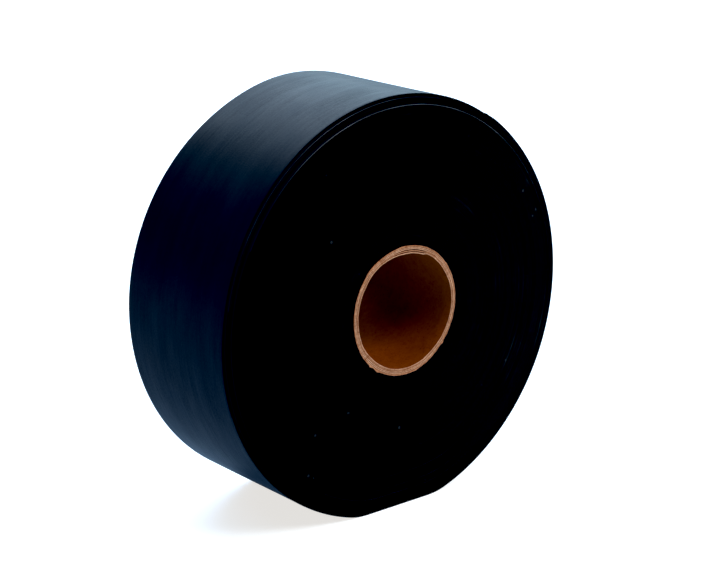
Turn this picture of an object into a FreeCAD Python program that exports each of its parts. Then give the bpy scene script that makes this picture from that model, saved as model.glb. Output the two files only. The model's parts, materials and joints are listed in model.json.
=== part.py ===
"""A roll of wide black electrical tape on a paper core, standing on its flattened rim.

Frame: millimetres, origin at the centre of the core's bore, the roll's axis along Y, the front face
towards -Y, +Z up. Angles run from +X towards +Z, as seen from the front.

The tape is one strip of plastic backing with a layer of adhesive under it. It is wound on the core
in about a hundred tight turns and three slack outer ones, and its free end, the tail, lies on the
upper right of the rim. A place on the strip is given in turns, counted clockwise from the free end
inwards.
"""

import FreeCAD, Part
import math
import os

# Driving dimensions
TAPE_WIDTH = 50.8  # a two inch tape
BACKING_THICKNESS = 0.335
ADHESIVE_THICKNESS = 0.11
CORE_BORE_RADIUS = 19.05  # a one and a half inch core
CORE_PLY_THICKNESS = 0.44
CORE_PLIES = ("core_inner_liner", "core_ply_2", "core_ply_3", "core_ply_4", "core_outer_ply")

ROLL_RADIUS = 69.0
ROLL_CENTRE_X = -2.3  # the slack outer turns make the rim eccentric to the bore
ROLL_CENTRE_Z = 0.9
FOOT_Z = -66.2  # the rim is pressed flat where the roll stands

SLACK_TURNS = 3  # the number of loose turns round the tight pack
TIGHT_ANGLE = -52.0  # where the slack turns lie closest together, in degrees
TIGHT_GAP = 0.04
SLACK_GAP = 0.38  # half of the extra gap between slack turns opposite the tight side
SETTLING = 0.1  # a turn settles on to the one below within this share of a turn, either way

TAIL_END_ANGLE = 60.0  # the cut end of the tape, in degrees
TAIL_LINKS = 6
TAIL_LINK_ANGLE = 8.0  # the length of one link of the tail, round the rim
LINK_CUT_ANGLE = 0.01  # the cut between two links

ARC_ANGLE = 12.0  # the tape's curve is made of arcs of at most this angle

TAPE_THICKNESS = BACKING_THICKNESS + ADHESIVE_THICKNESS
CORE_RADIUS = CORE_BORE_RADIUS + CORE_PLY_THICKNESS * len(CORE_PLIES)
TAIL_TURN = TAIL_LINKS * TAIL_LINK_ANGLE / 360
FRONT_Y = -TAPE_WIDTH / 2


def smooth_step(t):
    t = min(max(t, 0.0), 1.0)
    return t * t * (3 - 2 * t)


def slack_turns_above(turn):
    """How many gaps between slack turns lie over this place: a staircase with soft risers."""
    risers = range(1, SLACK_TURNS + 1)
    return sum(smooth_step((turn - n + SETTLING) / (2 * SETTLING)) for n in risers)


def angle_at(turn):
    """The angle round the roll, in radians, of a place on the strip."""
    return math.radians(TAIL_END_ANGLE - 360 * turn)


def turn_at(angle, whole_turns):
    """The place on the strip at an angle in degrees, with this many whole turns over it."""
    return whole_turns + (TAIL_END_ANGLE - angle) / 360 % 1


def rim_radius(turn):
    """From the bore's axis to the strip's outer surface, if the roll weren't pressed flat."""
    a = angle_at(turn)
    offset = ROLL_CENTRE_X * math.cos(a) + ROLL_CENTRE_Z * math.sin(a)
    across = ROLL_CENTRE_X**2 + ROLL_CENTRE_Z**2 - offset**2
    gap = TIGHT_GAP + SLACK_GAP * (1 - math.cos(a - math.radians(TIGHT_ANGLE)))
    spiral = TAPE_THICKNESS * (0.5 - turn) - gap * slack_turns_above(turn)
    return offset + math.sqrt(ROLL_RADIUS**2 - across) + spiral


def foot_level(whole_turns):
    """The height of the flat underside of the strip's outer surface, this many turns in."""
    return FOOT_Z + (TAPE_THICKNESS + TIGHT_GAP) * whole_turns


def tape_radius(turn):
    """From the bore's axis to the strip's outer surface."""
    rise = math.sin(angle_at(turn))
    if rise > -0.5:
        return rim_radius(turn)
    return min(rim_radius(turn), foot_level(math.floor(turn)) / rise)


def point_at(turn, depth):
    """A point of the front edge, this far under the strip's outer surface."""
    a = angle_at(turn)
    r = tape_radius(turn) - depth
    return FreeCAD.Vector(r * math.cos(a), FRONT_Y, r * math.sin(a))


def foot_corners(whole_turns):
    """The two places where a turn's round runs into its flat foot, in the strip's order."""
    level = foot_level(whole_turns)
    corners = []
    for side_angle in (-60.0, -120.0):
        outside, inside = turn_at(side_angle, whole_turns), turn_at(-90.0, whole_turns)
        for _ in range(40):
            middle = (outside + inside) / 2
            if rim_radius(middle) * math.sin(angle_at(middle)) < level:
                inside = middle
            else:
                outside = middle
        corners.append(inside)
    return corners


def edges_along(start, end, depth):
    """The strip's edge between two places, this far under its outer surface: arcs round the roll
    and a straight line across each foot."""
    first, last = min(start, end), max(start, end)
    corners = [c for n in range(SLACK_TURNS + 1) for c in foot_corners(n) if first < c < last]
    stops = sorted([first, *corners, last])
    edges = []
    for a, b in zip(stops, stops[1:]):
        if a in corners and b in corners and b - a < 0.2:
            edges.append(Part.makeLine(point_at(a, depth), point_at(b, depth)))
            continue
        count = math.ceil((b - a) * 360 / ARC_ANGLE)
        for i in range(count):
            places = [a + (b - a) * (i + part) / count for part in (0, 0.5, 1)]
            edges.append(Part.Arc(*[point_at(p, depth) for p in places]).toShape())
    return edges


def extrude_outline(edges):
    wire = Part.Wire(Part.__sortEdges__(edges))
    return Part.Face(wire).extrude(FreeCAD.Vector(0, TAPE_WIDTH, 0))


def strip_layer(start, end, top, bottom):
    """A stretch of one layer of the strip, between two depths under its outer surface."""
    ends = [Part.makeLine(point_at(place, top), point_at(place, bottom)) for place in (start, end)]
    return extrude_outline([*edges_along(start, end, top), *edges_along(start, end, bottom), *ends])


def tube(inner_radius, outer_radius):
    """A plain tube along the roll's axis, as wide as the tape."""
    base, along = FreeCAD.Vector(0, FRONT_Y, 0), FreeCAD.Vector(0, 1, 0)
    outer = Part.makeCylinder(outer_radius, TAPE_WIDTH, base, along)
    return outer.cut(Part.makeCylinder(inner_radius, TAPE_WIDTH, base, along))


def core_pieces():
    """The paper tube: plies of kraft paper glued one over another."""
    pieces = {}
    for i, name in enumerate(CORE_PLIES):
        inner = CORE_BORE_RADIUS + i * CORE_PLY_THICKNESS
        pieces[name] = tube(inner, inner + CORE_PLY_THICKNESS)
    return pieces


def wound_pack():
    """All the tight turns as one solid. Its outline is one turn of the spiral, with a step where
    the innermost slack turn leaves it."""
    first, last = SLACK_TURNS, SLACK_TURNS + 1 - 1e-9
    step = Part.makeLine(point_at(last, 0), point_at(first, 0))
    base, along = FreeCAD.Vector(0, FRONT_Y, 0), FreeCAD.Vector(0, 1, 0)
    hole = Part.makeCylinder(CORE_RADIUS + TAPE_THICKNESS, TAPE_WIDTH, base, along)
    return extrude_outline([*edges_along(first, last, 0), step]).cut(hole)


def wound_pieces():
    """The strip from the core out to where the tail begins."""
    just_under_one = 1 - 1e-9
    return {
        "tape_first_turn": tube(CORE_RADIUS, CORE_RADIUS + TAPE_THICKNESS),
        "tape_wound_pack": wound_pack(),
        "tape_slack_turn_3": strip_layer(2, 2 + just_under_one, 0, TAPE_THICKNESS),
        "tape_slack_turn_2": strip_layer(1, 1 + just_under_one, 0, TAPE_THICKNESS),
        "tape_outer_turn_backing": strip_layer(TAIL_TURN, just_under_one, 0, BACKING_THICKNESS),
        "tape_outer_turn_adhesive": strip_layer(
            TAIL_TURN, just_under_one, BACKING_THICKNESS, TAPE_THICKNESS
        ),
    }


def tail_place(link):
    """The place on the strip where a link of the tail begins. Link 1 is at the peel line and the
    last link ends in the cut."""
    return TAIL_TURN * (TAIL_LINKS - link + 1) / TAIL_LINKS


def tail_pieces():
    """The free end in short links, so that it can bend as it is peeled back."""
    pieces = {}
    for link in range(1, TAIL_LINKS + 1):
        near, far = tail_place(link) - LINK_CUT_ANGLE / 360, tail_place(link + 1)
        pieces[f"tail_{link}_backing"] = strip_layer(far, near, 0, BACKING_THICKNESS)
        pieces[f"tail_{link}_adhesive"] = strip_layer(far, near, BACKING_THICKNESS, TAPE_THICKNESS)
    return pieces


def main():
    os.makedirs("parts", exist_ok=True)
    pieces = {**core_pieces(), **wound_pieces(), **tail_pieces()}
    for name, shape in pieces.items():
        shape.exportStep(f"parts/{name}.step")
        print(f"{name}: {len(shape.Solids)} solid, {shape.Volume:.1f} mm3, valid {shape.isValid()}")
    for link in range(1, TAIL_LINKS + 1):
        hinge = point_at(tail_place(link), 0)
        print(f"tail link {link} bends at x {hinge.x:.4f}, z {hinge.z:.4f}")


main()
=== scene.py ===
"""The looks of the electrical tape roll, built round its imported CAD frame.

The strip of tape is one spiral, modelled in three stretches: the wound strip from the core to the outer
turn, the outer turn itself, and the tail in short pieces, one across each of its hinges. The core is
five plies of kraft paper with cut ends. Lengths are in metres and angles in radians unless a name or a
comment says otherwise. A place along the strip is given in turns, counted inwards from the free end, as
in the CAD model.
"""

import json
import math

import bpy
import numpy as np
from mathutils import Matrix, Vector


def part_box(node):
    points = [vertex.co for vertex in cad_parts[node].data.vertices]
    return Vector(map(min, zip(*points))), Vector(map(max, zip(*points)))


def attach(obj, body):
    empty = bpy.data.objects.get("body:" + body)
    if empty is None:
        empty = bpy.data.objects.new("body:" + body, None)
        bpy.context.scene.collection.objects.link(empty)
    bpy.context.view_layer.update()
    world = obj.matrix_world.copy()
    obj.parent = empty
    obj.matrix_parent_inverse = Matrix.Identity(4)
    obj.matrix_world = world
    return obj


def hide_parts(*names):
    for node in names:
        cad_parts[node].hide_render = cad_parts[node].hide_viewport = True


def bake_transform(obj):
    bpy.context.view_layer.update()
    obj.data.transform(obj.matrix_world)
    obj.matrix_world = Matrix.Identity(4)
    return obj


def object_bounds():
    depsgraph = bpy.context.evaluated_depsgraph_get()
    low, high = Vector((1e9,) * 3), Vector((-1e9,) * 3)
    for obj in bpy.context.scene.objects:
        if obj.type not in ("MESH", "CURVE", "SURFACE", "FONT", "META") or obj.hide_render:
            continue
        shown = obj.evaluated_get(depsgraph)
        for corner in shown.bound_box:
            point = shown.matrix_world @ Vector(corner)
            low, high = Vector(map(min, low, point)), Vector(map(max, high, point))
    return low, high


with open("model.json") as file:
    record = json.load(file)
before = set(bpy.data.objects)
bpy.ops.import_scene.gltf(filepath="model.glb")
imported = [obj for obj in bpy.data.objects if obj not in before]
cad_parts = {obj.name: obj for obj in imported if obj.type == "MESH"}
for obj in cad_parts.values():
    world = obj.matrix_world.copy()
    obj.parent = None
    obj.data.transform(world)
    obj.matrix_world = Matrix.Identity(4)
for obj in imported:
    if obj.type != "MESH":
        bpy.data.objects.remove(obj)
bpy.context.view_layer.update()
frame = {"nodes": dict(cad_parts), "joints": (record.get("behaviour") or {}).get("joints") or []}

MM = 0.001
TURN = 2 * math.pi

# ---------------------------------------------------------------- the frame's own sizes

HALF_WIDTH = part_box("tape_wound_pack")[1].y
CORE_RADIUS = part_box("core_outer_ply")[1].x
TAPE_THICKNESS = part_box("tape_first_turn")[1].x - CORE_RADIUS
BORE_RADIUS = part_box("core_inner_liner")[1].x - (CORE_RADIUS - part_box("core_ply_4")[1].x)
HINGES = [Vector(joint["pos_m"]) for joint in frame["joints"]]
HINGE_ANGLES = [math.atan2(hinge.z, hinge.x) for hinge in HINGES]
LINK_ANGLE = HINGE_ANGLES[1] - HINGE_ANGLES[0]
TAIL_END = HINGE_ANGLES[-1] + LINK_ANGLE
TAIL_LINKS = len(HINGES)
LINK_TURN = LINK_ANGLE / TURN
TAIL_TURN = TAIL_LINKS * LINK_ANGLE / TURN
PLIES = ("core_inner_liner", "core_ply_2", "core_ply_3", "core_ply_4", "core_outer_ply")
# the CAD nodes of the strip, a turn each from the outside in; the last is all the tight turns
WOUND_NODES = (
    "tape_outer_turn_backing", "tape_slack_turn_2", "tape_slack_turn_3", "tape_wound_pack",
)
SLACK_TURNS = len(WOUND_NODES) - 1
FOOT_LEVELS = np.array([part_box(name)[0].z for name in WOUND_NODES])

OUTWARD = 0.5  # a face looks outwards if this much of its normal points away from the axis


def outward_edge(name, whole_turns):
    """Places on the strip and radii of a CAD node's outward surface, in the strip's order."""
    mesh = frame["nodes"][name].data
    found = []
    for face in mesh.polygons:
        centre = face.center
        outwards = face.normal.x * centre.x + face.normal.z * centre.z
        if outwards < OUTWARD * math.hypot(centre.x, centre.z):
            continue
        middle = (TAIL_END - math.atan2(centre.z, centre.x)) % TURN
        for i in face.vertices:
            point = mesh.vertices[i].co
            apart = (TAIL_END - math.atan2(point.z, point.x) - middle + math.pi) % TURN - math.pi
            found.append((whole_turns + (middle + apart) / TURN, math.hypot(point.x, point.z)))
    return found


def cad_edge():
    """The whole outward edge that the CAD model has: the tail, the outer turn, the slack turns and
    the outside of the tight pack."""
    found = []
    for link in range(1, TAIL_LINKS + 1):
        found += outward_edge(f"tail_{link}_backing", 0)
    for whole_turns, name in enumerate(WOUND_NODES):
        found += outward_edge(name, whole_turns)
    found.sort()
    return np.array(found).T


EDGE_TURNS, EDGE_RADII = cad_edge()

# ---------------------------------------------------------------- shaping functions


def smooth_step(t):
    """0 up to t = 0 and 1 from t = 1, with a soft rise between."""
    t = np.clip(t, 0, 1)
    return t * t * (3 - 2 * t)


def soft_min(a, b, width):
    """The smaller of two values, with a soft corner of that width where they cross."""
    near = np.maximum(width - np.abs(a - b), 0) / width
    return np.minimum(a, b) - near * near * width / 4


def bell(x, middle, width):
    return np.exp(-(((x - middle) / width) ** 2))


def bells(x, terms):
    """A sum of bells, each given as its height, middle and width."""
    return sum(height * bell(x, middle, width) for height, middle, width in terms)


def waves(x, terms):
    """A sum of sine waves, each given as its height, rate and phase."""
    return sum(height * np.sin(rate * x + phase) for height, rate, phase in terms)


# ---------------------------------------------------------------- the wound strip's shape

FOOT_CORNER = 0.9 * MM  # how softly the flat foot runs into the round
INNER_FOOT_CORNER = 4 * MM  # how much softer it gets on the way in to the core
FOOT_SPREAD = 0.3  # the flattening dies out this far out from the core, as a share of the pack
UNDERSIDE = -0.6  # the foot lies where the sine of the angle is below this
END_PRESS = 0.24 * MM  # how far the free end is pressed down on the turn beneath
END_THINNING = 0.55  # share of the thickness that the cut end has lost
END_STRETCH = 0.012  # the share of a turn over which it thins
START_STEP = 0.05  # the second turn climbs over the strip's start within this share of a turn
START_MEMORY = 9  # turns until that step has smoothed out
START_PART = 0.35  # the strip starts this share of a turn further in than whole turns would
TURN_GAP = 0.004 * MM  # left between one tight turn and the next
THINNEST = 0.5  # share of its thickness that the strip keeps wherever it is pressed

PACK_FIT = (0.15, 0.99)  # the pack's outline is fitted from and to these shares of its turn
FIT_ABOVE = -0.93  # and only where the sine of the angle is over this, clear of the foot
HANDOVER = (0.1, 0.8)  # the CAD outline gives way to the pack's own from here, over this much

# height in mm, waves in a turn of the core and phase
CORE_WAVES = ((0.10, 3, 0.6), (0.07, 5, 2.1), (0.04, 9, 0))
CORE_MEMORY = 14  # turns over which the tape stops following them


def angle_at(turn):
    return TAIL_END - TURN * turn


def harmonics(angle):
    return np.stack([np.ones_like(angle)] + [f(k * angle) for k in (1, 2) for f in (np.cos, np.sin)])


def fit_pack():
    """The tight pack's outline without its foot or its step, as a few harmonics."""
    turns = np.linspace(SLACK_TURNS + PACK_FIT[0], SLACK_TURNS + PACK_FIT[1], 200)
    angles = angle_at(turns)
    round_part = np.sin(angles) > FIT_ABOVE
    radii = np.interp(turns, EDGE_TURNS, EDGE_RADII) + TAPE_THICKNESS * (turns - SLACK_TURNS)
    terms = harmonics(angles[round_part])
    return np.linalg.lstsq(terms.T, radii[round_part], rcond=None)[0]


PACK_SHAPE = fit_pack()
PACK_LEAST = (PACK_SHAPE @ harmonics(np.linspace(0, TURN, 361))).min()
PACK_BELOW = float(PACK_SHAPE @ harmonics(np.float64(-math.pi / 2)))
PACK_TURNS = int((PACK_LEAST - CORE_RADIUS) / TAPE_THICKNESS)
LAST_TURN = SLACK_TURNS + PACK_TURNS + START_PART  # where the strip starts, stuck to the core


def core_wobble(angle):
    """The paper core isn't quite round, and the first turns of tape follow it."""
    return waves(angle, CORE_WAVES) * MM


def press_flat(radius, angle, level, corner):
    """A radius, cut down where it would reach under the flat foot at that level."""
    sine = np.sin(angle)
    flat = np.where(sine < UNDERSIDE, level / np.minimum(sine, UNDERSIDE), np.inf)
    return soft_min(radius, flat, corner)


def pack_radius(turn):
    """The outer surface of a tight turn. The turns sit round on the core, take up the roll's
    eccentric shape on the way out, and are pressed flat more and more over the foot."""
    angle = angle_at(turn)
    from_start = np.maximum(LAST_TURN - turn, 0)
    whole = np.floor(from_start)
    part = from_start - whole
    climb = smooth_step((part - (1 - START_STEP)) / START_STEP)
    memory = np.clip(from_start / START_MEMORY, 0, 1)
    layers = whole + climb * (1 - memory) + part * memory
    share = layers / (LAST_TURN - SLACK_TURNS)
    inside = CORE_RADIUS + TAPE_THICKNESS
    radius = inside + (PACK_SHAPE @ harmonics(angle) - inside) * share
    radius = radius + core_wobble(angle) * np.exp(-from_start / CORE_MEMORY)
    pressing = np.clip((share - FOOT_SPREAD) / (1 - FOOT_SPREAD), 0, 1) ** 2
    pressed = (PACK_BELOW + FOOT_LEVELS[-1]) * pressing
    level = -(inside + (PACK_BELOW - inside) * share - pressed)
    return press_flat(radius, angle, level, FOOT_CORNER + (1 - share) * INNER_FOOT_CORNER)


def tape_radius(turn):
    """From the bore's axis to the strip's outer surface."""
    turn = np.asarray(turn, float)
    radius = np.interp(turn, EDGE_TURNS, EDGE_RADII)
    level = FOOT_LEVELS[np.clip(np.floor(turn).astype(int), 0, SLACK_TURNS)]
    outside = press_flat(radius, angle_at(turn), level, FOOT_CORNER)
    outside = outside - END_PRESS * (1 - smooth_step(turn / TAIL_TURN))
    outside = outside - END_THINNING * TAPE_THICKNESS * (1 - smooth_step(turn / END_STRETCH))
    inwards = smooth_step((turn - SLACK_TURNS - HANDOVER[0]) / HANDOVER[1])
    return np.where(inwards > 0, outside * (1 - inwards) + pack_radius(turn) * inwards, outside)


def tape_depth(turn):
    """The strip's thickness: less where the turns are pressed together over the foot, and at the
    free end, which was stretched thin as it was cut."""
    room = tape_radius(turn) - tape_radius(np.minimum(turn + 1, LAST_TURN))
    room = np.where(turn + 1 < LAST_TURN, room, TAPE_THICKNESS)
    depth = np.clip(room - TURN_GAP, THINNEST * TAPE_THICKNESS, TAPE_THICKNESS)
    return depth * (1 - END_THINNING * (1 - smooth_step(turn / END_STRETCH)))


# ---------------------------------------------------------------- the strip's two edges, in mm

FRONT_INSET, BACK_INSET = 0.28, 0.26  # the faces lie this far inside the tape's full width
FRONT_DRAWN_BACK = 0.26  # how far the slack turns have drawn back from the front face
BACK_SWAY = (0.16, 2.2)  # how far they sway at the back face, and its rate for each turn
SLACK_LAST, SLACK_FADE = 2.8, 0.3  # the slack ends at this turn, and is gone after this much more
# where turns stand proud of that, as height, place and width; a negative height is forwards
FRONT_STEPS = (
    (-0.20, 1.72, 0.16),  # the second turn, on the left
    (-0.12, 3.55, 0.55),  # the outermost tight turn
)

DRIFT = 0.05  # groups of turns lie this far to one side and then the other
DRIFT_WAVE = ((4, 0.19, 0.8),)  # more than 1 high, so that they change sides quickly
# smaller waves on top, each as height, rate for each turn and phase
WANDER_WAVES = ((0.035, 0.27, 0), (0.03, 2.3, 1), (0.02, 7.1, 2), (0.02, 0.9, 0))

EDGE_RADIUS = 0.07  # of the slit corners
# where they are worn rounder, as extra radius, place and width
EDGE_ROUNDED = (
    (0.08, 3.5, 0.6),  # the outermost tight turn
    (0.07, 0.14, 0.22),  # the tail and just behind it
)

# stretches of the strip whose corners stand proud and are rubbed, painted pale as a painted highlight
# where they catch the light, from and to these turns
SCUFFED_GLINTS = (
    (0.03, 0.26), (0.44, 0.62), (1.02, 1.22), (1.70, 1.95), (3.74, 4.20),
    (11.2, 11.5), (17.15, 17.45), (26.2, 26.45), (43.2, 43.4),
)
SCUFF_GLINT_FADE = 0.06  # each fades in and out over this share of a turn


def slackness(turn):
    return 1 - smooth_step((turn - SLACK_LAST) / SLACK_FADE)


def wander(turn):
    """How far the strip lies off its true course as it was wound."""
    return DRIFT * np.tanh(waves(turn, DRIFT_WAVE)) + waves(turn, WANDER_WAVES)


def front_edge(turn):
    """Y of the strip's front edge."""
    drawn_back = FRONT_DRAWN_BACK * slackness(turn)
    return -HALF_WIDTH + (FRONT_INSET + wander(turn) + drawn_back + bells(turn, FRONT_STEPS)) * MM


def back_edge(turn):
    """Y of the strip's back edge."""
    sway = BACK_SWAY[0] * slackness(turn) * np.cos(BACK_SWAY[1] * turn)
    return HALF_WIDTH - (BACK_INSET - wander(turn) + sway) * MM


def edge_round(turn):
    """The radius of the strip's slit corners."""
    return (EDGE_RADIUS + bells(turn, EDGE_ROUNDED)) * MM


def wear_and_glint(turns):
    """How rubbed the corners are and how strong their painted highlight is, from 0 to 1."""
    most = np.zeros(len(turns))
    for first, last in SCUFFED_GLINTS:
        faded = smooth_step((turns - first) / SCUFF_GLINT_FADE) * smooth_step((last - turns) / SCUFF_GLINT_FADE)
        most = np.maximum(most, faded)
    return most


# ---------------------------------------------------------------- mesh helpers

# where a tape piece's materials are in its list
FILM, ADHESIVE, EDGE, SCUFFED_GLINT_FILM = range(4)


def put_in_scene(name, data):
    """A new object that holds a mesh, a light or a camera."""
    made = bpy.data.objects.new(name, data)
    bpy.context.scene.collection.objects.link(made)
    return made


def new_piece(name, points, faces, slots, materials, body, smooth_angle):
    """A mesh object that rides on a body, if it is given one. The smooth angle is in degrees."""
    mesh = bpy.data.meshes.new(name)
    mesh.from_pydata([tuple(p) for p in points], [], [tuple(f) for f in faces])
    for material in materials:
        mesh.materials.append(material)
    mesh.polygons.foreach_set("material_index", np.array(slots, np.int32))
    mesh.polygons.foreach_set("use_smooth", np.ones(len(faces), bool))
    mesh.update()
    mesh.set_sharp_from_angle(angle=math.radians(smooth_angle))
    piece = put_in_scene(name, mesh)
    if body:
        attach(piece, body)
    return piece


def loft(sections, closed=False):
    """Quads between rings of points, and an end cap at each end unless the loft closes on itself.
    Sections is (sections, points of a ring, 3). Returns points, faces and for each face its place
    in the ring, or -1 for a cap."""
    count, ring = sections.shape[:2]
    i = np.arange(count if closed else count - 1)[:, None]
    j = np.arange(ring)[None, :]
    a, b = i % count * ring, (i + 1) % count * ring
    k = (j + 1) % ring
    quads = np.stack(np.broadcast_arrays(a + j, b + j, b + k, a + k), -1).reshape(-1, 4)
    faces = quads.tolist()
    places = np.broadcast_to(j, (len(i), ring)).reshape(-1).tolist()
    if not closed:
        faces += [list(range(ring)), list(range((count - 1) * ring, count * ring))[::-1]]
        places += [-1, -1]
    return sections.reshape(-1, 3), faces, places


def strip_sections(turns, across, bulge, edge_steps):
    """Rings of points round the strip at those places. Across holds the columns of the wide faces,
    from -1 at the front edge to 1 at the back. Also which faces of a ring are which."""
    turns = np.asarray(turns, float)
    rubbed_glint_arcs = np.linspace(0, math.pi / 2, edge_steps + 1)
    # each place in a ring: share of the width, corners outwards, corners inwards, on the underside
    ring = [((u + 1) / 2, 0.0, 0.0, 0) for u in across]
    ring += [(1.0, math.sin(t), 1 - math.cos(t), 0) for t in rubbed_glint_arcs[1:]]
    ring += [(1.0, math.cos(t), 1 - math.sin(t), 1) for t in rubbed_glint_arcs]
    ring += [((u + 1) / 2, 0.0, 0.0, 1) for u in across[::-1][1:-1]]
    ring += [(0.0, -math.sin(t), 1 - math.cos(t), 1) for t in rubbed_glint_arcs]
    ring += [(0.0, -math.cos(t), 1 - math.sin(t), 0) for t in rubbed_glint_arcs[:-1]]
    share, outwards, inset, under = np.array(ring).T
    corner = edge_round(turns)[:, None]
    front = front_edge(turns)[:, None] + corner
    back = back_edge(turns)[:, None] - corner
    y = front + (back - front) * share + corner * outwards
    depth = tape_depth(turns)[:, None]
    down = np.where(under > 0, depth - inset * corner, inset * corner)
    r = tape_radius(turns)[:, None] - down
    if bulge is not None:
        r = r + bulge(turns[:, None], y)
    angle = angle_at(turns)[:, None]
    sections = np.stack([r * np.cos(angle), y, r * np.sin(angle)], -1)
    wide, count = len(across) - 1, len(ring)
    underside = wide + 2 * edge_steps + 1
    faces = {
        "outside": set(range(wide)),
        "corners": {*range(wide, wide + edge_steps), *range(count - edge_steps, count)},
        "underside": set(range(underside, underside + wide)),
    }
    return sections, faces


def strip_piece(name, turns, across, materials, body="roll", bulge=None, edge_steps=1):
    """A closed stretch of the strip with backing outside, adhesive inside and cut edges. Its outer
    corners are part of the film if they are finely rounded and of the cut edge if not, and where a turn
    stands proud they are scuffed and carry a painted highlight."""
    sections, kinds = strip_sections(turns, across, bulge, edge_steps)
    points, faces, places = loft(sections)
    slot_of = {**dict.fromkeys(kinds["outside"], FILM), **dict.fromkeys(kinds["underside"], ADHESIVE)}
    if edge_steps > 1:
        slot_of.update(dict.fromkeys(kinds["corners"], FILM))
    slots = [slot_of.get(place, EDGE) for place in places]
    ring = sections.shape[1]
    # rubbed corners, which also get a painted highlight from the scuffed film
    scuff_glint = wear_and_glint(turns)
    for i in np.flatnonzero(scuff_glint[:-1] + scuff_glint[1:] > 0):
        for j in kinds["corners"]:
            slots[i * ring + j] = SCUFFED_GLINT_FILM
    piece = new_piece(name, points, faces, slots, materials, body, smooth_angle=60)
    attribute = piece.data.attributes.new("wear_and_glint", "FLOAT", "POINT")
    attribute.data.foreach_set("value", np.repeat(scuff_glint, ring))
    return piece


# ---------------------------------------------------------------- shader helpers


def shader(name, **sockets):
    """A new material, its node tree and its Principled shader with those sockets set."""
    material = bpy.data.materials.new(name)
    material.use_nodes = True
    tree = material.node_tree
    principled = tree.nodes["Principled BSDF"]
    for socket, value in sockets.items():
        principled.inputs[socket.replace("_", " ")].default_value = value
    return material, tree, principled


def node(tree, kind, inputs=None, **settings):
    """A new node. Its inputs are given by name or number, as values or as sockets to link."""
    made = tree.nodes.new(kind)
    for key, value in settings.items():
        setattr(made, key, value)
    for key, value in (inputs or {}).items():
        if isinstance(value, bpy.types.NodeSocket):
            tree.links.new(value, made.inputs[key])
        else:
            made.inputs[key].default_value = value
    return made


def calculate(tree, operation, *values):
    return node(tree, "ShaderNodeMath", dict(enumerate(values)), operation=operation).outputs[0]


def map_range(tree, value, to_min, to_max, from_min=0.0, from_max=1.0):
    inputs = {
        "Value": value, "From Min": from_min, "From Max": from_max, "To Min": to_min, "To Max": to_max,
    }
    return node(tree, "ShaderNodeMapRange", inputs).outputs[0]


def mix_colour(tree, factor, first, second, blend="MIX"):
    inputs = {0: factor, 6: first, 7: second}
    return node(tree, "ShaderNodeMix", inputs, data_type="RGBA", blend_type=blend).outputs[2]


def ramp(tree, factor, stops):
    """Colours between those stops, each a place from 0 to 1 and a colour."""
    made = node(tree, "ShaderNodeValToRGB", {"Fac": factor})
    elements = made.color_ramp.elements
    while len(elements) < len(stops):
        elements.new(0.5)
    for element, (place, colour) in zip(elements, stops):
        element.position = place
        element.color = (*colour, 1)
    return made.outputs["Color"]


def object_place(tree):
    return node(tree, "ShaderNodeTexCoord").outputs["Object"]


def axes_of(tree, vector):
    split = node(tree, "ShaderNodeSeparateXYZ", {"Vector": vector})
    return [split.outputs[axis] for axis in "XYZ"]


def round_the_rim(tree, place, along, across):
    """A vector that runs slowly round the rim and quickly across it, without a seam."""
    x, y, z = axes_of(tree, place)
    angle = calculate(tree, "ARCTAN2", z, x)
    c, s = calculate(tree, "COSINE", angle), calculate(tree, "SINE", angle)
    vector = node(tree, "ShaderNodeCombineXYZ", {"X": c, "Y": y, "Z": s}).outputs[0]
    inputs = {0: vector, 1: (along, across, along)}
    return node(tree, "ShaderNodeVectorMath", inputs, operation="MULTIPLY").outputs[0]


def noise_of(tree, vector, scale, detail=4, roughness=0.6):
    inputs = {"Vector": vector, "Scale": scale, "Detail": detail, "Roughness": roughness}
    return node(tree, "ShaderNodeTexNoise", inputs).outputs["Fac"]


def cells_of(tree, vector, scale):
    inputs = {"Vector": vector, "Scale": scale}
    return node(tree, "ShaderNodeTexVoronoi", inputs).outputs["Distance"]


def bump(tree, principled, height, distance, strength, normal=None):
    """Adds a bump to the shader, on top of the normal of an earlier one."""
    inputs = {"Height": height, "Distance": distance, "Strength": strength}
    if normal is not None:
        inputs["Normal"] = normal
    made = node(tree, "ShaderNodeBump", inputs)
    tree.links.new(made.outputs["Normal"], principled.inputs["Normal"])
    return made.outputs["Normal"]


# ---------------------------------------------------------------- materials

FILM_DEEP, FILM_COLD = (0.0004, 0.0020, 0.0068), (0.0008, 0.0036, 0.0102)
SPECK_DARK, WHITE = (0.45, 0.38, 0.33), (1, 1, 1)


def backing_material():
    """Calendered plastic film: near black with a cold cast, satin, with fine lines round the roll
    where it was drawn, broader bands of tension, and a grain."""
    material, tree, principled = shader("tape_backing_film", IOR=1.08)
    place = object_place(tree)
    lines = noise_of(tree, round_the_rim(tree, place, 1.4, 900), 1.0, 3)
    bands = noise_of(tree, round_the_rim(tree, place, 2.2, 170), 1.0, 3)
    cloud = noise_of(tree, place, 75, 4, 0.65)
    grain = noise_of(tree, place, 1700, 3, 0.7)
    tone = calculate(tree, "MULTIPLY", bands, cloud)
    colour = ramp(tree, tone, [(0.14, FILM_DEEP), (0.40, FILM_COLD)])
    rough = map_range(tree, calculate(tree, "ADD", tone, grain), 0.22, 0.44)
    uneven = calculate(tree, "MULTIPLY_ADD", grain, 1.5, bands)
    sheen = map_range(tree, uneven, 0.2, 0.8, from_min=0.85, from_max=1.65)
    tree.links.new(colour, principled.inputs["Base Color"])
    tree.links.new(rough, principled.inputs["Roughness"])
    tree.links.new(sheen, principled.inputs["Specular IOR Level"])
    first = bump(tree, principled, bands, 0.00016, 0.8)
    second = bump(tree, principled, lines, 0.00004, 0.7, first)
    bump(tree, principled, grain, 0.00005, 0.6, second)
    return material


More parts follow.
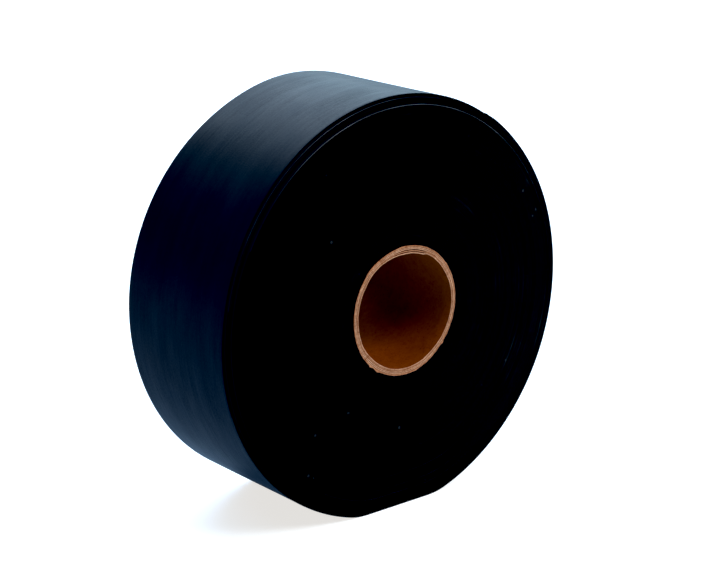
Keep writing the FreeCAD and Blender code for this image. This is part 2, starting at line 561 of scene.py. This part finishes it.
def adhesive_material():
    """The tacky side: black and glossy, with faint strings and dimples left from unwinding."""
    material, tree, principled = shader("tape_adhesive_coat", IOR=1.45)
    strings = noise_of(tree, round_the_rim(tree, object_place(tree), 60, 260), 1.0, 4)
    colour = ramp(tree, strings, [(0.3, (0.0025, 0.0025, 0.003)), (0.7, (0.007, 0.007, 0.008))])
    tree.links.new(colour, principled.inputs["Base Color"])
    tree.links.new(map_range(tree, strings, 0.16, 0.34), principled.inputs["Roughness"])
    bump(tree, principled, strings, 0.00008, 0.7)
    return material


def lint_spots(tree, place):
    """1 on a few small specks and 0 elsewhere."""
    small = calculate(tree, "LESS_THAN", cells_of(tree, place, 320), 0.16)
    few = calculate(tree, "GREATER_THAN", noise_of(tree, place, 130, 2), 0.66)
    return calculate(tree, "MULTIPLY", small, few)


def edge_material():
    """The slit edges that make up the two faces: dead black, with arcs where a turn's edge is rubbed,
    painted grey partly as a painted glint and a little stronger on the right as painted highlight, and a
    scatter of lint."""
    material, tree, principled = shader("tape_slit_edge", IOR=1.07, Specular_Tint=(1.0, 0.85, 0.3, 1))
    place = object_place(tree)
    x, _, z = axes_of(tree, place)
    flat = node(tree, "ShaderNodeCombineXYZ", {"X": x, "Z": z}).outputs[0]
    radius = node(tree, "ShaderNodeVectorMath", {0: flat}, operation="LENGTH").outputs["Value"]
    ringed = noise_of(tree, node(tree, "ShaderNodeCombineXYZ", {"X": radius}).outputs[0], 1100, 2)
    rubbed = noise_of(tree, place, 70, 3, 0.6)
    # painted highlight: the arcs get a little lighter towards the right
    lit_right_side = map_range(tree, x, 0.8, 1.02, from_min=-0.02, from_max=0.05)
    rubbed_glint_arcs = calculate(tree, "MULTIPLY", calculate(tree, "MULTIPLY", ringed, rubbed), lit_right_side)
    # the lightest stop is partly a painted glint on the rubbed arcs
    black, dull, glint_grey = (0.0003, 0.0003, 0.0003), (0.0009, 0.0009, 0.0007), (0.017, 0.017, 0.015)
    colour = ramp(tree, rubbed_glint_arcs, [(0.0, black), (0.33, dull), (0.46, glint_grey)])
    colour = mix_colour(tree, lint_spots(tree, place), colour, (0.022, 0.022, 0.022, 1))
    tree.links.new(colour, principled.inputs["Base Color"])
    tree.links.new(map_range(tree, rubbed, 0.38, 0.60), principled.inputs["Roughness"])
    bump(tree, principled, noise_of(tree, place, 1500, 3), 0.00005, 0.6)
    return material


def scuffed_glint_material():
    """Film whose corner was dragged over: it has gone grey in patches and catches the light, and its
    pale patches are also a painted highlight, as far as the piece's own wear and painted highlight go."""
    material, tree, principled = shader("tape_scuffed_glint_corner", IOR=1.30)
    place = object_place(tree)
    scuff_glint_here = node(tree, "ShaderNodeAttribute", attribute_name="wear_and_glint").outputs["Fac"]
    scuff_glint = calculate(tree, "MULTIPLY", noise_of(tree, place, 55, 3, 0.6), scuff_glint_here)
    # the grey and pale stops are a painted highlight on the rubbed corner as well as wear
    dull, glint_grey, pale = (0.006, 0.007, 0.011), (0.03, 0.036, 0.045), (0.09, 0.10, 0.12)
    colour = ramp(tree, scuff_glint, [(0.15, FILM_DEEP), (0.35, dull), (0.50, glint_grey), (0.64, pale)])
    tree.links.new(colour, principled.inputs["Base Color"])
    tree.links.new(map_range(tree, scuff_glint, 0.45, 0.28), principled.inputs["Roughness"])
    bump(tree, principled, noise_of(tree, place, 1800, 2), 0.00003, 0.5)
    return material


def kraft_material(name, light, dark, bump_depth):
    """Brown kraft paper: mottled pulp with short fibres and darker specks."""
    material, tree, principled = shader(name, IOR=1.04)
    place = object_place(tree)
    pulp = noise_of(tree, place, 420, 6, 0.65)
    fibre = noise_of(tree, round_the_rim(tree, place, 22, 1400), 1.0, 5, 0.7)
    both = calculate(tree, "ADD", pulp, fibre)
    colour = ramp(tree, calculate(tree, "MULTIPLY", both, 0.5), [(0.34, dark), (0.62, light)])
    specks = ramp(tree, cells_of(tree, place, 900), [(0.08, SPECK_DARK), (0.2, WHITE)])
    toned = mix_colour(tree, 1.0, colour, specks, "MULTIPLY")
    tree.links.new(toned, principled.inputs["Base Color"])
    tree.links.new(map_range(tree, pulp, 0.82, 0.98), principled.inputs["Roughness"])
    bump(tree, principled, both, bump_depth, 0.8)
    return material


# ---------------------------------------------------------------- the tape

tape_materials = [backing_material(), adhesive_material(), edge_material(), scuffed_glint_material()]

INNER_STEPS = 96  # sections for each turn of the wound strip
NEAR_STEPS = 300  # and this many from NEAR_TURN outwards, where single turns can be seen
NEAR_TURN = 4.4
RIM_STEP = 1.25 / 360  # the share of a turn between sections of the outer turn
LINK_STEPS = 13  # sections in each piece of the tail
COLUMNS = np.linspace(-1, 1, 41)  # across the outer turn and the tail

# The outer turn's departures from a cylinder. Heights are in mm. Angles are in degrees round the
# rim and go down from the free end, so that the top of the roll is at -270 and the left at -180.
BACK_LIFT = ((0.45, -262, 13),)  # of the back edge at the top: height, angle and width
FRONT_LIP = ((0.12, -150, 30),)  # of the front edge, below the left
CROWN = 0.22  # of the lower left
CROWN_FROM, CROWN_RISE = -190, 25
CROWN_TO, CROWN_FALL = -124, 14
RIPPLE = 0.03
RIPPLE_LIFT = 1.6  # keeps every ripple outwards
LOOSEST = 128  # where it ripples most, counted upwards from the right


def flare(turn, y):
    """The outer turn isn't a true cylinder. Its back edge lifts a little at the top, its front edge
    on the left, it is crowned at the lower left, and it ripples where it is loose."""
    angle = np.degrees(angle_at(turn))
    across = y / HALF_WIDTH
    back_lift = bells(angle, BACK_LIFT) * smooth_step((across - 0.35) / 0.65)
    front_lip = bells(angle, FRONT_LIP) * smooth_step((-across - 0.8) / 0.2)
    rise = smooth_step((angle - CROWN_FROM) / CROWN_RISE)
    fall = smooth_step((CROWN_TO - angle) / CROWN_FALL)
    crown = CROWN * rise * fall * (1 - smooth_step((across - 0.45) / 0.55))
    ripple = np.sin(angle / 11.0 + 40 * y) + 0.6 * np.sin(angle / 5.3 - 90 * y + 1)
    loose = 0.5 + 0.5 * np.cos(np.radians(angle - LOOSEST))
    return (back_lift + front_lip + crown + RIPPLE * (ripple + RIPPLE_LIFT) * loose) * MM


def build_wound_strip():
    """All the turns but the outer one, from the core outwards."""
    inner = np.linspace(LAST_TURN, NEAR_TURN, int((LAST_TURN - NEAR_TURN) * INNER_STEPS), endpoint=False)
    near = np.linspace(NEAR_TURN, 1, int((NEAR_TURN - 1) * NEAR_STEPS) + 1)
    piece = strip_piece("tape_wound_strip", np.append(inner, near), (-1, 1), tape_materials)
    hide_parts("tape_first_turn", "tape_wound_pack", "tape_slack_turn_3", "tape_slack_turn_2")


def build_outer_turn():
    """The turn over all the others, from where it starts to the first piece of the tail."""
    peel = TAIL_TURN + LINK_TURN / 2
    turns = np.linspace(1, peel, int((1 - peel) / RIM_STEP) + 1)
    piece = strip_piece("tape_outer_turn", turns, COLUMNS, tape_materials, "roll", flare, 3)
    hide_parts("tape_outer_turn_backing", "tape_outer_turn_adhesive")


def rim_point(turn):
    radius, angle = tape_radius(turn), angle_at(turn)
    return Vector((radius * math.cos(angle), 0, radius * math.sin(angle)))


def build_tail():
    """One piece across each hinge, from the middle of one link to the middle of the next, and a
    last one out to the cut end."""
    bodies = ["roll"] + [f"tail_{k}" for k in range(1, TAIL_LINKS + 1)]
    for k in range(TAIL_LINKS):
        hinge = TAIL_TURN - k * LINK_TURN
        turns = np.linspace(hinge + LINK_TURN / 2, hinge - LINK_TURN / 2, LINK_STEPS)
        piece = strip_piece(f"tape_tail_{k + 1}", turns, COLUMNS, tape_materials, None, flare, 3)
        start, end = rim_point(turns[0]), rim_point(turns[-1])
        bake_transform(piece)
        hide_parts(f"tail_{k + 1}_backing", f"tail_{k + 1}_adhesive")
    turns = np.linspace(LINK_TURN / 2, 0, LINK_STEPS // 2 + 1)
    piece = strip_piece("tape_tail_end", turns, COLUMNS, tape_materials, bodies[-1], flare, 3)


# ---------------------------------------------------------------- the core

CORE_SEGMENTS = 540
CORE_COLUMNS = 26
CORE_CRUSH = 0.20  # share of the wall lost where its front end was pressed on the left and right
CRUSH_REACH = 0.10  # how far in from the end that goes, as a share of the half width
TONGUE_LIFT = 0.46 * MM  # how far the inner plies have come away at the upper right
TONGUE_REACH = 0.30
TONGUE_PLIES = 2
TONGUE_TIP, TONGUE_TIP_FADE = 1.08, 0.10  # it ends at this angle, sharply
TONGUE_ROOT, TONGUE_ROOT_FADE = 2.05, 0.55  # and grows from this one, slowly

# the rest of the core's sizes are in mm
PLY_GAP = 0.012  # between one ply and the next, at each of them
END_INSET = 0.23  # the cut ends lie this far inside the tape's full width
CUT_DEPTH = 0.075  # how far the sawn outline goes in and out
FRAY = 0.045  # how far the fibres of a cut edge stand out sideways
LIP = 0.06  # how much a ply is rounded off at its cut edge
END_CROWN = 0.02  # how far the middle of a cut end stands out
BURR, BURR_DEPTH = 0.10, 0.09  # the outer ply's edge is pushed out over the tape
BURR_DRAG = 0.3  # the burr also stands forward by this share of its height

# share of each kind of wave in a torn outline, and its knots: long, short and single fibres
TORN_WAVES = ((0.5, 14), (0.6, 47), (0.5, 135), (0.35, CORE_SEGMENTS))
# flakes of paper that the saw pushed out over the tape: height, angle and width
CHIPS = (
    (0.40, 3.96, 0.030), (0.30, 4.13, 0.045), (0.28, 5.56, 0.025),
    (0.22, 2.30, 0.10), (0.20, 0.62, 0.035), (0.18, 1.66, 0.05),
)


def ragged(angles, seed, knots):
    """Irregular repeatable noise round a circle, straight between that many knots."""
    values = np.random.default_rng(seed).uniform(-1, 1, knots)
    return np.interp(angles / TURN * knots, np.arange(knots + 1), np.append(values, values[0]))


def torn(angles, seed):
    """The outline of paper that was sawn and torn."""
    return sum(share * ragged(angles, seed + i, knots) for i, (share, knots) in enumerate(TORN_WAVES))


def front_end(y, reach):
    """1 at the front end of the core, falling to 0 over that share of the half width."""
    return smooth_step((-y / HALF_WIDTH - 1 + reach) / reach)


def pressed_wall(angles, radius, y):
    """The wall is squeezed a little at the front end, most on the left and right and least at the
    lower left."""
    sides = 0.55 + 0.45 * np.cos(2 * angles + 0.25) - 0.5 * bell(angles, 3.95, 0.35)
    sides = sides + 0.55 * np.maximum(np.cos(angles + 0.5), 0) ** 4
    squeeze = CORE_CRUSH * sides * front_end(y, CRUSH_REACH)
    return CORE_RADIUS - (CORE_RADIUS - radius) * (1 - squeeze)


def ply_lift(angles, y, ply):
    """The inner plies sag away from the rest at the top of the front end, and end in a tongue."""
    if ply >= TONGUE_PLIES:
        return 0
    tip = smooth_step((angles - TONGUE_TIP) / TONGUE_TIP_FADE)
    root = smooth_step((TONGUE_ROOT - angles) / TONGUE_ROOT_FADE)
    return -(1 - 0.45 * ply) * TONGUE_LIFT * root * tip * front_end(y, TONGUE_REACH) ** 2


def ply_ring(index, name, angles):
    """The closed section of one ply at each angle: along its outside to the back, round the cut end
    and along its inside to the front."""
    inner = (BORE_RADIUS if index == 0 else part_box(PLIES[index - 1])[1].x) + PLY_GAP * MM
    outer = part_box(name)[1].x - PLY_GAP * MM
    front_cut, back_cut, fray = (torn(angles, seed + 7 * index) for seed in (11, 71, 131))
    burr = np.zeros(len(angles))
    if index == len(PLIES) - 1:
        burr = BURR + BURR_DEPTH * torn(angles, 171) + bells(angles, CHIPS)
    front = -HALF_WIDTH + (END_INSET + CUT_DEPTH * front_cut - BURR_DRAG * burr) * MM
    back = HALF_WIDTH - (END_INSET + CUT_DEPTH * back_cut) * MM

    def wall_at(radius, y):
        return pressed_wall(angles, radius, y) + core_wobble(angles) + ply_lift(angles, y, index)

    rows = []
    shares = np.linspace(0, 1, CORE_COLUMNS)
    for surface, side, end, beyond in ((outer, 1, back, END_CROWN), (inner, -1, front, -END_CROWN)):
        for share in shares[::side]:
            y = front + (back - front) * share
            cut = float(share in (0, 1))
            radius = wall_at(surface - LIP * MM * cut * side, y) + FRAY * MM * fray * cut
            if side == 1 and share == 0:
                radius = radius + burr * MM
            rows.append((radius, y))
        end_y = end + beyond * MM
        rows.append((wall_at((inner + outer) / 2, end_y), end_y))
    return np.stack([np.stack([r * np.cos(angles), y, r * np.sin(angles)], -1) for r, y in rows], 1)


def build_ply(index, name, materials):
    """One ply of the core: a tube whose cut ends are ragged. Its materials are wall and cut end."""
    ring = ply_ring(index, name, np.linspace(0, TURN, CORE_SEGMENTS, endpoint=False))
    points, faces, places = loft(ring[::-1], closed=True)
    ends = (CORE_COLUMNS - 1, CORE_COLUMNS, 2 * CORE_COLUMNS, 2 * CORE_COLUMNS + 1)
    slots = [1 if place in ends else 0 for place in places]
    piece = new_piece("paper_" + name, points, faces, slots, materials, "roll", smooth_angle=50)
    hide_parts(name)


def build_core():
    """The plies. The second and the last show darker at their cut ends than the others."""
    wall = kraft_material("kraft_wall", (0.185, 0.044, 0.0050), (0.125, 0.024, 0.003), 0.00003)
    cut = kraft_material("kraft_cut_end", (0.53, 0.23, 0.11), (0.25, 0.075, 0.022), 0.00014)
    cut_light = kraft_material("kraft_cut_light", (0.66, 0.34, 0.19), (0.36, 0.13, 0.05), 0.00014)
    for index, name in enumerate(PLIES):
        build_ply(index, name, [wall, cut if index in (1, 4) else cut_light])


# ---------------------------------------------------------------- floor, lights and camera

FLOOR_HALF = 9.0
FLAG_SEGMENTS = 48
# a colour as the lights and reflections have it, and as the camera sees it
FLOOR_GLOW = ((0.13, 0.23, 0.38, 1), (0.76, 0.74, 0.71, 1))
BACKDROP = ((0.75, 0.88, 1.0, 1), (1.05, 1.05, 1.05, 1))
BACKDROP_STRENGTH = 0.08  # for all but the camera, which sees it at full strength

CAMERA_AZIMUTH, CAMERA_ELEVATION = -39.8, 16.6  # in degrees
CAMERA_LENS, CAMERA_SENSOR = 94.3, 36.0  # in mm
CAMERA_PLACE = (-0.37935, -0.45918, 0.1786)
BLACK_LEVEL = (0.008, 0.006, 0.003)


def stage_card(name, rim, material):
    """A flat card with that rim, for the stage."""
    mesh = bpy.data.meshes.new(name)
    mesh.from_pydata(rim, [], [tuple(range(len(rim)))])
    mesh.materials.append(material)
    return put_in_scene(name, mesh)


def seen_by_camera(tree):
    return node(tree, "ShaderNodeLightPath").outputs["Is Camera Ray"]


def build_floor():
    """Pale paper, a little dimmer and cooler to everything but the camera."""
    material, tree, principled = shader(
        "studio_paper", Roughness=0.95, Base_Color=(0.46, 0.55, 0.68, 1),
        Specular_IOR_Level=0.0, Emission_Strength=1.0,
    )
    glow = mix_colour(tree, seen_by_camera(tree), *FLOOR_GLOW)
    tree.links.new(glow, principled.inputs["Emission Color"])
    size, z = FLOOR_HALF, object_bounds()[0].z
    rim = [(-size, -size, z), (size, -size, z), (size, size, z), (-size, size, z)]
    floor = stage_card("studio_floor", rim, material)


def build_world():
    """A pale backdrop that is bright for the camera only."""
    world = bpy.data.worlds.new("studio")
    world.use_nodes = True
    tree = world.node_tree
    dim = tree.nodes["Background"]
    dim.inputs["Color"].default_value = BACKDROP[0]
    dim.inputs["Strength"].default_value = BACKDROP_STRENGTH
    pale = node(tree, "ShaderNodeBackground", {"Color": BACKDROP[1]})
    inputs = {0: seen_by_camera(tree), 1: dim.outputs[0], 2: pale.outputs[0]}
    backdrop = node(tree, "ShaderNodeMixShader", inputs)
    tree.links.new(backdrop.outputs[0], tree.nodes["World Output"].inputs["Surface"])
    bpy.context.scene.world = world


def build_flag():
    """A round black card behind the bore, which keeps the back lights out of it."""
    radius, y = CORE_RADIUS, 1.5 * HALF_WIDTH
    angles = [TURN * i / FLAG_SEGMENTS for i in range(FLAG_SEGMENTS)]
    rim = [(radius * math.cos(angle), y, radius * math.sin(angle)) for angle in angles]
    velvet = shader("flag_velvet", Roughness=1.0, Base_Color=(0.01, 0.01, 0.01, 1))[0]
    flag = stage_card("black_flag", rim, velvet)
    flag.visible_camera = False


def add_light(name, kind, place, colour):
    """A light that faces the roll and that the camera doesn't see."""
    data = bpy.data.lights.new(name, kind)
    data.color = colour
    light = put_in_scene(name, data)
    light.location = place
    light.rotation_mode = "QUATERNION"
    light.rotation_quaternion = Vector(place).to_track_quat("Z", "Y")
    light.visible_camera = False
    return data


def add_softbox(name, place, size, radiance, colour):
    data = add_light(name, "AREA", place, colour)
    data.shape = "RECTANGLE"
    data.size, data.size_y = size
    data.energy = radiance * math.pi * size[0] * size[1]


def add_ceiling(name, place, spread, strength, colour):
    """A wide glow in the sky. The spread is in degrees."""
    data = add_light(name, "SUN", place, colour)
    data.angle = math.radians(spread)
    data.energy = strength


def build_lights():
    """Two ceilings, one wider than the other so that their reflection has a soft edge, and
    softboxes behind, on the right and in front."""
    overhead = (0.33, 0.42, 0.85)
    add_ceiling("ceiling", overhead, 66, 2.6, (0.80, 0.90, 1.0))
    add_ceiling("ceiling_edge", overhead, 100, 2.4, (0.44, 0.78, 1.0))
    add_softbox("back_softbox", (0.25, 0.80, 0.70), (0.56, 0.50), 8.9, (0.60, 0.79, 1.0))
    add_softbox("right_back_softbox", (0.85, 1.00, 0.40), (0.55, 0.35), 6.0, (0.60, 0.82, 1.0))
    add_softbox("right_softbox", (1.3, 0.1, 0.45), (1.2, 0.7), 2.5, (0.8, 0.9, 1.0))
    add_softbox("front_key", (0.40, -1.20, 1.35), (0.9, 0.8), 12.5, (1.0, 0.94, 0.84))


def build_camera():
    data = bpy.data.cameras.new("camera")
    data.lens, data.sensor_width = CAMERA_LENS, CAMERA_SENSOR
    data.clip_start, data.clip_end = 0.01, 50
    camera = put_in_scene("camera", data)
    azimuth, elevation = math.radians(CAMERA_AZIMUTH), math.radians(CAMERA_ELEVATION)
    level = math.cos(elevation)
    back = Vector((math.sin(azimuth) * level, -math.cos(azimuth) * level, math.sin(elevation)))
    camera.location = CAMERA_PLACE
    camera.rotation_mode = "QUATERNION"
    camera.rotation_quaternion = back.to_track_quat("Z", "Y")
    bpy.context.scene.camera = camera


def grade_picture():
    """A studio exposure with firm blacks."""
    view = bpy.context.scene.view_settings
    view.view_transform = "Standard"
    view.use_curve_mapping = True
    view.curve_mapping.black_level = BLACK_LEVEL
    view.curve_mapping.update()


build_floor()
build_world()
build_flag()
build_camera()
grade_picture()
build_lights()
build_wound_strip()
build_outer_turn()
build_tail()
build_core()
